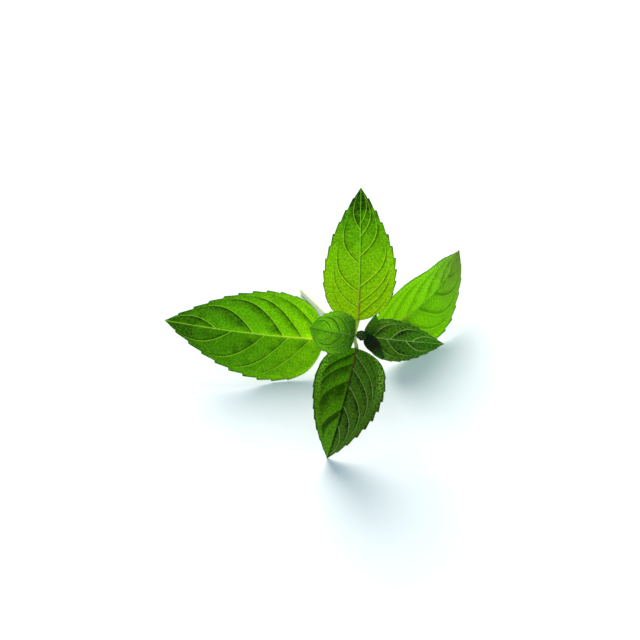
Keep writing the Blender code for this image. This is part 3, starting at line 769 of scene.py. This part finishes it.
def leaf_material(name, look, sizes):
    """Living mint leaf: a downy skin, IOR 1.45, over green cells that let light through.

    The down takes most of the skin's gloss away. Veins hold no green and look paler
    both ways. Veins, net and pillows are drawn from the points' own fields, and so
    are painted shade behind and beside the veins, painted light and shade on each half
    and painted glints on the down.
    """
    mat, node = new_material(name)
    names = (*BLADE_FIELDS, "below", "down")
    field = {key: node("Attribute", attribute_name=key).outputs["Fac"] for key in names}
    uv = node("UVMap", uv_map="plan")
    # side veins: the distance to the nearest whole count, in millimetres, + towards the tip
    nearest = node("Math", field["vein_count"], operation="ROUND")
    off = node("Math", field["vein_count"], nearest, operation="SUBTRACT")
    off = node("Math", off, field["vein_gap"], operation="MULTIPLY")
    away = node("Math", off, operation="ABSOLUTE")
    width = sizes.vein_width / MM
    thin = node("MapRange", field["across"], 0.0, 0.9, width, width * 0.6)
    line = node("MapRange", away, 0.0, thin, 1.0, 0.0, **SMOOTH)
    side_vein = node("Math", line, field["vein_strength"], operation="MULTIPLY")
    # midrib: as wide as its groove, thinner towards the tip
    width = sizes.rib_width / MM * look["rib_size"]
    thin = node("MapRange", field["along"], 0.0, 1.0, width, width * 0.35)
    rib = node("MapRange", field["rib"], 0.05, thin, 1.0, 0.0, **SMOOTH)
    veins = node("Math", side_vein, rib, operation="MAXIMUM")
    # painted shadow beside side veins and midrib: a dark line up to 0.6 mm off, on one side, where the step
    # of the groove turns from the light
    to_left = node("MapRange", field["left"], 0.0, 1.0, -1.0, 1.0)
    rib_off = node("Math", field["rib"], to_left, operation="MULTIPLY")
    first, last = ([look["soft"] * edge for edge in edges] for edges in (SHADOW_LINE_START, SHADOW_LINE_END))
    shadow_lines = []
    for distance, size in ((off, field["shadow_line"]), (rib_off, field["rib_shadow_line"])):
        toward = node("Math", size, operation="SIGN")
        toward = node("Math", toward, distance, operation="MULTIPLY")
        start = node("MapRange", toward, *first, **SMOOTH)
        end = node("MapRange", toward, *last, 1.0, 0.0, **SMOOTH)
        step = node("Math", start, end, operation="MULTIPLY")
        size = node("Math", size, operation="ABSOLUTE")
        shadow_lines.append(node("Math", step, size, operation="MULTIPLY"))
    step = node("Math", *shadow_lines, operation="MAXIMUM")
    # the finer net: uneven fields that the smallest veins enclose
    wander = node("TexNoise", uv, PLAN_WIDTH / WANDER_SIZE, 1.0)
    bent = node("Mix", 0.02, uv, wander.outputs["Color"], data_type="VECTOR")
    cells = node("TexVoronoi", bent, PLAN_WIDTH * MM / sizes.net_cell,
                 voronoi_dimensions="2D", feature="DISTANCE_TO_EDGE")
    net = node("MapRange", cells, 0.0, 0.15, 0.25, 0.0, **SMOOTH)
    on_blade = node("MapRange", field["along"], -0.01, 0.02)
    net = node("Math", net, on_blade, operation="MULTIPLY")
    pale = node("Math", veins, net, operation="MAXIMUM")
    fade = node("MapRange", field["along"], 0.3, 1.0, look["contrast"], look["contrast"] * 0.7)
    pale = node("Math", pale, fade, operation="MULTIPLY")
    # painted highlights: pale glints on the down in a band inside the margin, up to the middle of the blade
    speck = node("TexNoise", uv, PLAN_WIDTH / SPECK_SIZE, 2.0)
    painted_glints = node("MapRange", speck, 0.5, 0.62, 0.0, look["margin_glints"])
    band = node("MapRange", field["across"], 0.72, 0.84)
    rest = node("MapRange", field["across"], 0.92, 0.97, 1.0, 0.0)
    early = node("MapRange", field["along"], 0.25, 0.5, 1.0, 0.0)
    for limit in (band, rest, early):
        painted_glints = node("Math", painted_glints, limit, operation="MULTIPLY")
    # lighter and darker grains, and painted light and shade: each half lighter or darker as the light falls
    # on it
    painted_half_light = node("MapRange", field["left"], 0.0, 1.0, look["half_light_and_shade"][1], look["half_light_and_shade"][0])
    grain = node("MapRange", speck, 0.3, 0.7, 1 - look["grain"], 1 + look["grain"])
    tone = node("Math", painted_half_light, grain, operation="MULTIPLY")
    # cloudy differences between groups of cells move the change from foot to tip
    cloud = node("TexNoise", uv, PLAN_WIDTH / CLOUD_SIZE, 5.0)
    drift = node("MapRange", cloud, 0.3, 0.7, -0.1, 0.1)
    place = node("Math", field["along"], drift, operation="ADD")
    to_middle = node("MapRange", place, 0.0, 0.5)
    to_tip = node("MapRange", place, 0.5, 1.0)
    darker_tip = node("MapRange", place, 0.74, 0.9, 0.0, look["tip_shade"], **SMOOTH)
    # painted shade behind each vein, where each swelling field turns from the light, uneven under the clouds;
    # the edge and the midrib have their own colours
    rim = node("MapRange", field["across"], look["rim"], 1.0, 0.0, 0.8)
    uneven = node("MapRange", cloud, 0.35, 0.65, look["painted_vein_shade"] * 0.4, look["painted_vein_shade"] * 1.8)
    painted_vein_shade = node("Math", field["shade_behind_vein"], uneven, operation="MULTIPLY", use_clamp=True)
    rib_change = node("MapRange", field["along"], 0.1, 0.4)
    rib_colour = node("Mix", rib_change, linear(look["rib"][0]), linear(look["rib"][1]), **COLOURS)
    blade_only = node("MapRange", field["along"], -0.03, 0.01)
    rib_share = node("Math", rib, blade_only, operation="MULTIPLY")

    def coloured(colours, vein):
        """The blade's colour from foot to tip, with painted shade behind and beside its veins, and its veins.
        """
        foot, middle, tip = (linear(colour) for colour in colours)
        blade = node("Mix", to_middle, foot, middle, **COLOURS)
        blade = node("Mix", to_tip, blade, tip, **COLOURS)
        # multiplies in the painted shade behind the veins, the painted shadow lines beside them and the
        # darker tip
        for share, shade in ((painted_vein_shade, "#6C8458"), (step, "#5A7840"), (darker_tip, "#5A7840")):
            blade = node("Mix", share, blade, linear(shade), **COLOURS, blend_type="MULTIPLY")
        blade = node("HueSaturation", named={"Value": tone, "Color": blade})
        vein_colour = node("Mix", field["left"], linear(vein[1]), linear(vein[0]), **COLOURS)
        # over the blade go its edge, its veins, the painted glints on the down and its midrib
        for share, colour in ((rim, linear(look["edge"])), (pale, vein_colour),
                              (painted_glints, linear("#B4E04C")), (rib_share, rib_colour)):
            blade = node("Mix", share, blade, colour, **COLOURS)
        blade = node("Mix", blade_only, linear(look["stalk"]), blade, **COLOURS)
        return node("Mix", field["down"], blade, linear(DOWN_COLOUR), **COLOURS)

    # the lower face is paler and greyer
    paleness = node("Math", field["below"], 0.45, operation="MULTIPLY")
    face = coloured(look["face"], look["vein"])
    face = node("Mix", paleness, face, linear("#9CB878"), **COLOURS)
    through = coloured(look["through"], look["vein_through"])
    # the fields of the net are domed, with pillows on them
    pillow = node("TexVoronoi", uv, PLAN_WIDTH / PILLOW_SIZE, feature="SMOOTH_F1")
    fine = node("Bump", named={"Height": pillow, "Strength": 0.6, "Distance": PILLOW_HEIGHT * MM},
                invert=True)
    domed = node("MapRange", cells, 0.0, 0.35, **SMOOTH)
    bump = node("Bump", named={
        "Height": domed, "Strength": 1.0, "Distance": NET_HEIGHT * MM, "Normal": fine})
    rough = node("MapRange", cloud, 0.3, 0.7, 0.46, 0.62)
    skin = node("BsdfPrincipled", named={
        "Base Color": face, "Roughness": rough, "IOR": SKIN_IOR,
        "Specular IOR Level": DOWNY_GLOSS, "Normal": bump})
    glow = node("BsdfTranslucent", named={"Color": through, "Normal": bump})
    node("OutputMaterial", node("MixShader", look["share"], skin, glow))
    return mat


def stem_material(looks):
    """Mint stem: a pale downy skin with fine ridges along it, IOR 1.45.

    It is dull and a little see-through at its edges, and greener near its nodes.
    """
    mat, node = new_material("mint_stem_skin")
    spot = node("TexCoord").outputs["Object"]
    names = ("node", "pith", "down")
    field = {key: node("Attribute", attribute_name=key).outputs["Fac"] for key in names}
    blotch = node("TexNoise", spot, 1 / (BLOTCH_SIZE * MM), 3.0)
    colour = (*looks.skin, 1.0)
    for share, over in ((blotch, linear("#C8D0A0")), (field["node"], linear("#8CA04C")),
                        (field["pith"], (*looks.pith, 1.0)), (field["down"], linear(DOWN_COLOUR))):
        colour = node("Mix", share, colour, over, **COLOURS)
    grain = node("TexNoise", spot, 1 / (GRAIN_SIZE * MM), 2.0)
    bump = node("Bump", named={"Height": grain, "Strength": 0.3, "Distance": 0.00005})
    skin = node("BsdfPrincipled", named={
        "Base Color": colour, "Roughness": 0.5, "IOR": SKIN_IOR, "Normal": bump,
        "Subsurface Weight": 0.4, "Subsurface Radius": (0.001, 0.001, 0.0004), "Subsurface Scale": 1.0})
    node("OutputMaterial", skin)
    return mat


def build_stem(looks):
    """The stem: a square with rounded, slightly ribbed corners and hollow faces,
    swept along its centre line, with a cut end of pith inside a green rim."""
    rows, sides = 220, 64
    span = np.linspace(0, len(STEM_POINTS) - 1, rows)
    centre = stem_point(span)
    along = unit(np.gradient(centre, axis=0))
    across = unit(np.cross((0.0, 0.0, 1.0), along))
    up = np.cross(along, across)
    angle = 2 * np.pi * np.arange(sides) / sides
    corner = 1 + 0.09 * np.cos(4 * (angle - np.pi / 4)) + 0.02 * np.cos(8 * (angle - np.pi / 4))
    radius = stem_half_width(span)[:, None] * corner * (1 + 0.012 * np.sin(span * 40)[:, None])
    offset = np.cos(angle)[:, None] * across[:, None, :] + np.sin(angle)[:, None] * up[:, None, :]
    rings = centre[:, None, :] + offset * radius[..., None]
    # rings that close the ends: the cut is a little hollow, the tip round
    inward = np.array((0.15, 0.3, 0.5, 0.7, 0.82, 0.93))[:, None, None]
    sunk = np.array((0.16, 0.14, 0.1, 0.06, 0.03, 0.0))[:, None, None]
    cut = centre[0] + (rings[0] - centre[0]) * inward + along[0] * sunk
    tip = centre[-1] + (rings[-1] - centre[-1]) * np.array((0.8, 0.5, 0.2))[:, None, None]
    tip = tip + along[-1] * np.array((0.12, 0.2, 0.24))[:, None, None]
    rings = np.concatenate((cut, rings, tip))
    count = len(rings)
    points = np.vstack((rings.reshape(-1, 3), centre[0] + along[0] * 0.16, centre[-1] + along[-1] * 0.25))
    pith = np.zeros((count, sides))
    pith[: len(cut)] = np.array((1, 1, 1, 1, 0.9, 0.3))[:, None]
    swell = sum(0.8 * bell(span - node, 0.3) for node, _ in STEM_NODES)
    swell = np.clip(swell + 0.6 * smooth_step(0.6, 3.0, span), 0, 1)
    node = np.concatenate((np.zeros(len(cut)), swell, np.ones(len(tip)))).repeat(sides)
    fields = {"pith": np.append(pith, (1.0, 0.0)), "node": np.append(node, (0.0, 1.0))}
    # down between the ends, leaning back towards the cut
    chance = np.random.default_rng(4)
    liking = ring_areas(rings)
    liking[: len(cut) * sides] = 0
    liking[(count - len(tip)) * sides :] = 0
    roots = chance.choice(count * sides, STEM_HAIRS, replace=False, p=liking / liking.sum())
    outward = offset.reshape(-1, 3)[roots - len(cut) * sides]
    forward = -0.5 * along.repeat(sides, axis=0)[roots - len(cut) * sides]
    points, faces, fields = grow_down(
        points, tube_faces(count, sides), fields, roots, outward, forward, seed=9)
    obj = mesh_piece("square_stem", points, faces, stem_material(looks), fields)
    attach(obj, BODY)
    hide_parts("stem")


def bud_material():
    """Closed mint bud: young leaves folded over each other, dark, downy and dull."""
    mat, node = new_material("mint_bud_skin")
    spot = node("TexCoord").outputs["Object"]
    field = {key: node("Attribute", attribute_name=key).outputs["Fac"] for key in ("fold", "down")}
    cloud = node("TexNoise", spot, 900.0, 3.0)
    colour = linear("#0C1E02")
    # the seams and the line under the outer pair's edge get painted shade, darker than the bud
    for share, over in ((cloud, "#203E04"), (field["fold"], "#081402"), (field["down"], DOWN_COLOUR)):
        colour = node("Mix", share, colour, linear(over), **COLOURS)
    bump = node("Bump", named={"Height": cloud, "Strength": 0.4, "Distance": 0.0001})
    skin = node("BsdfPrincipled", named={
        "Base Color": colour, "Roughness": 0.6, "IOR": SKIN_IOR,
        "Specular IOR Level": DOWNY_GLOSS, "Normal": bump})
    node("OutputMaterial", skin)
    return mat


def build_bud():
    """The closed bud: two cupped young leaves around an inner pair.

    The outer pair ends at t = 0.5 + 0.42 cos(angle) squared; past that line the
    radius steps in to the inner pair. Both pairs dip along their seams, and slanting
    waves stand for their side veins.
    """
    rows, sides = 150, 128
    basis = leaf_frame(BUD_HEADING, BUD_RISE, 0)
    t = np.linspace(0, 1, rows)[:, None]
    swell = BUD_FOOT_SWELL * (1 - t) + 2.35 * t ** 0.7 * (1 - t) ** 0.62
    angle = 2 * np.pi * np.arange(sides) / sides
    turned = angle + 0.5 * t
    edge = 0.5 + 0.42 * np.cos(turned) ** 2
    inner = smooth_step(-0.008, 0.014, t - edge)
    outer_seam = bell(np.cos(turned), 0.09) * np.sin(np.pi * t)
    seam = outer_seam * (1 - inner) + bell(np.sin(turned), 0.11) * inner
    vein = bell(np.sin(turned), 0.06) * (1 - inner)
    slanted = np.sin(26 * t + 9 * np.abs(np.sin(turned))) * np.sin(np.pi * t)
    radius = swell * (1 - 0.26 * seam - 0.2 * inner + 0.07 * vein * np.sin(np.pi * t) + 0.02 * slanted)
    across = np.cos(angle) * BUD_HALF_WIDTHS[0] * radius
    height = np.sin(angle) * BUD_HALF_WIDTHS[1] * radius
    off_axis = across[..., None] * basis[:, 1] + height[..., None] * basis[:, 2]
    rings = np.array(BUD_FOOT) + BUD_LENGTH * t[..., None] * basis[:, 0] + off_axis
    end = np.array(BUD_FOOT) + basis[:, 0] * BUD_LENGTH * 1.02
    points = np.vstack((rings.reshape(-1, 3), BUD_FOOT, end))
    # painted shade for the seams and for the line under the outer pair's edge
    edge_line = bell(t - edge - 0.006, 0.014)
    fields = {"fold": np.append(np.clip(seam + edge_line, 0, 1), (0.0, 0.0))}
    chance = np.random.default_rng(6)
    roots = chance.choice(np.arange(rows // 8 * sides, (rows - 4) * sides), BUD_HAIRS, replace=False)
    outward = unit(off_axis.reshape(-1, 3)[roots])
    points, faces, fields = grow_down(
        points, tube_faces(rows, sides), fields, roots, outward, basis[:, 0], seed=12)
    obj = mesh_piece("closed_bud", points, faces, bud_material(), fields)
    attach(obj, BODY)
    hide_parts("tip_bud")


def build_stage(looks):
    """A matt white board, a large soft lamp behind the sprig and a pale sky."""
    mat, node = new_material("matt_white_board")
    # paper-covered board: no gloss, the faintest mottling of its fibres
    fibre = node("TexNoise", node("TexCoord").outputs["Object"], 60.0, 5.0)
    dull = (*(0.97 * part for part in looks.floor), 1.0)
    tone = node("Mix", fibre, (*looks.floor, 1.0), dull, **COLOURS)
    board = node("BsdfPrincipled", named={"Base Color": tone, "Roughness": 0.9, "Specular IOR Level": 0.2})
    node("OutputMaterial", board)
    mesh = bpy.data.meshes.new("board")
    edge = BOARD_HALF_EDGE * MM
    corners = [(-edge, -edge, 0), (edge, -edge, 0), (edge, edge, 0), (-edge, edge, 0)]
    mesh.from_pydata(corners, [], [(0, 1, 2, 3)])
    mesh.materials.append(mat)
    floor = bpy.data.objects.new("board", mesh)
    bpy.context.scene.collection.objects.link(floor)

    sun = bpy.data.lights.new("window_light", "SUN")
    sun.energy = looks.sun
    sun.angle = math.radians(LAMP_ANGLE)
    sun.color = linear("#FFFCF7")[:3]
    lamp = bpy.data.objects.new("window_light", sun)
    lamp.rotation_euler = (math.radians(LAMP_ELEVATION - 90), 0.0, math.radians(LAMP_HEADING - 90))
    bpy.context.scene.collection.objects.link(lamp)

    world = bpy.data.worlds.new("pale_sky")
    world.use_nodes = True
    background = world.node_tree.nodes["Background"]
    background.inputs["Color"].default_value = linear("#D8F2FF")
    background.inputs["Strength"].default_value = looks.sky
    bpy.context.scene.world = world

    camera = bpy.data.cameras.new("camera")
    camera.lens = CAMERA_LENS
    eye = bpy.data.objects.new("camera", camera)
    tilt = math.radians(CAMERA_ELEVATION)
    away = CAMERA_DISTANCE * MM
    eye.location = (
        SPRIG_AT[0] * MM,
        SPRIG_AT[1] * MM - away * math.cos(tilt),
        SPRIG_AT[2] * MM + away * math.sin(tilt),
    )
    eye.rotation_euler = (math.pi / 2 - tilt, 0.0, 0.0)
    bpy.context.scene.collection.objects.link(eye)
    bpy.context.scene.camera = eye
    bpy.context.scene.view_settings.view_transform = "Standard"


class SPRIG_OT_leaves(bpy.types.Operator):
    """Build the large and small leaves and the two tiny ones at the tip"""

    bl_idname = "sprig.leaves"
    bl_label = "Leaves"

    def execute(self, context):
        for name, leaf in LEAVES.items():
            build_leaf(name, leaf, context.scene.sprig_blades)
        return {"FINISHED"}


class SPRIG_OT_stem(bpy.types.Operator):
    """Build the square stem with its cut end"""

    bl_idname = "sprig.stem"
    bl_label = "Stem"

    def execute(self, context):
        build_stem(context.scene.sprig_stem)
        return {"FINISHED"}


class SPRIG_OT_bud(bpy.types.Operator):
    """Build the closed bud at the tip"""

    bl_idname = "sprig.bud"
    bl_label = "Bud"

    def execute(self, context):
        build_bud()
        return {"FINISHED"}


class SPRIG_OT_stage(bpy.types.Operator):
    """Set up the board, the light and the camera"""

    bl_idname = "sprig.stage"
    bl_label = "Stage"

    def execute(self, context):
        build_stage(context.scene.sprig_stage)
        return {"FINISHED"}


class SPRIG_PT_panel(bpy.types.Panel):
    """Lists the steps and their settings"""

    bl_label = "Mint Sprig"
    bl_idname = "SPRIG_PT_panel"
    bl_space_type = "VIEW_3D"
    bl_region_type = "UI"
    bl_category = "Sprig"

    def draw(self, context):
        for group in (context.scene.sprig_blades, context.scene.sprig_stem, context.scene.sprig_stage):
            for key in group.bl_rna.properties.keys():
                if key not in ("rna_type", "name"):
                    self.layout.prop(group, key)
        for operator in OPERATORS:
            self.layout.operator(operator.bl_idname)


OPERATORS = (SPRIG_OT_stage, SPRIG_OT_stem, SPRIG_OT_leaves, SPRIG_OT_bud)
GROUPS = (BladeSizes, StemLooks, StageLooks)


def register():
    """Registers the classes and puts their settings on the scene."""
    for cls in (*GROUPS, *OPERATORS, SPRIG_PT_panel):
        bpy.utils.register_class(cls)
    bpy.types.Scene.sprig_blades = PointerProperty(type=BladeSizes)
    bpy.types.Scene.sprig_stem = PointerProperty(type=StemLooks)
    bpy.types.Scene.sprig_stage = PointerProperty(type=StageLooks)


def unregister():
    """Takes the settings and the classes away again."""
    del bpy.types.Scene.sprig_blades
    del bpy.types.Scene.sprig_stem
    del bpy.types.Scene.sprig_stage
    for cls in reversed((*GROUPS, *OPERATORS, SPRIG_PT_panel)):
        bpy.utils.unregister_class(cls)


def main():
    """Builds everything in order."""
    register()
    bpy.ops.sprig.stage()
    bpy.ops.sprig.stem()
    bpy.ops.sprig.leaves()
    bpy.ops.sprig.bud()


if __name__ == "__main__":
    main()
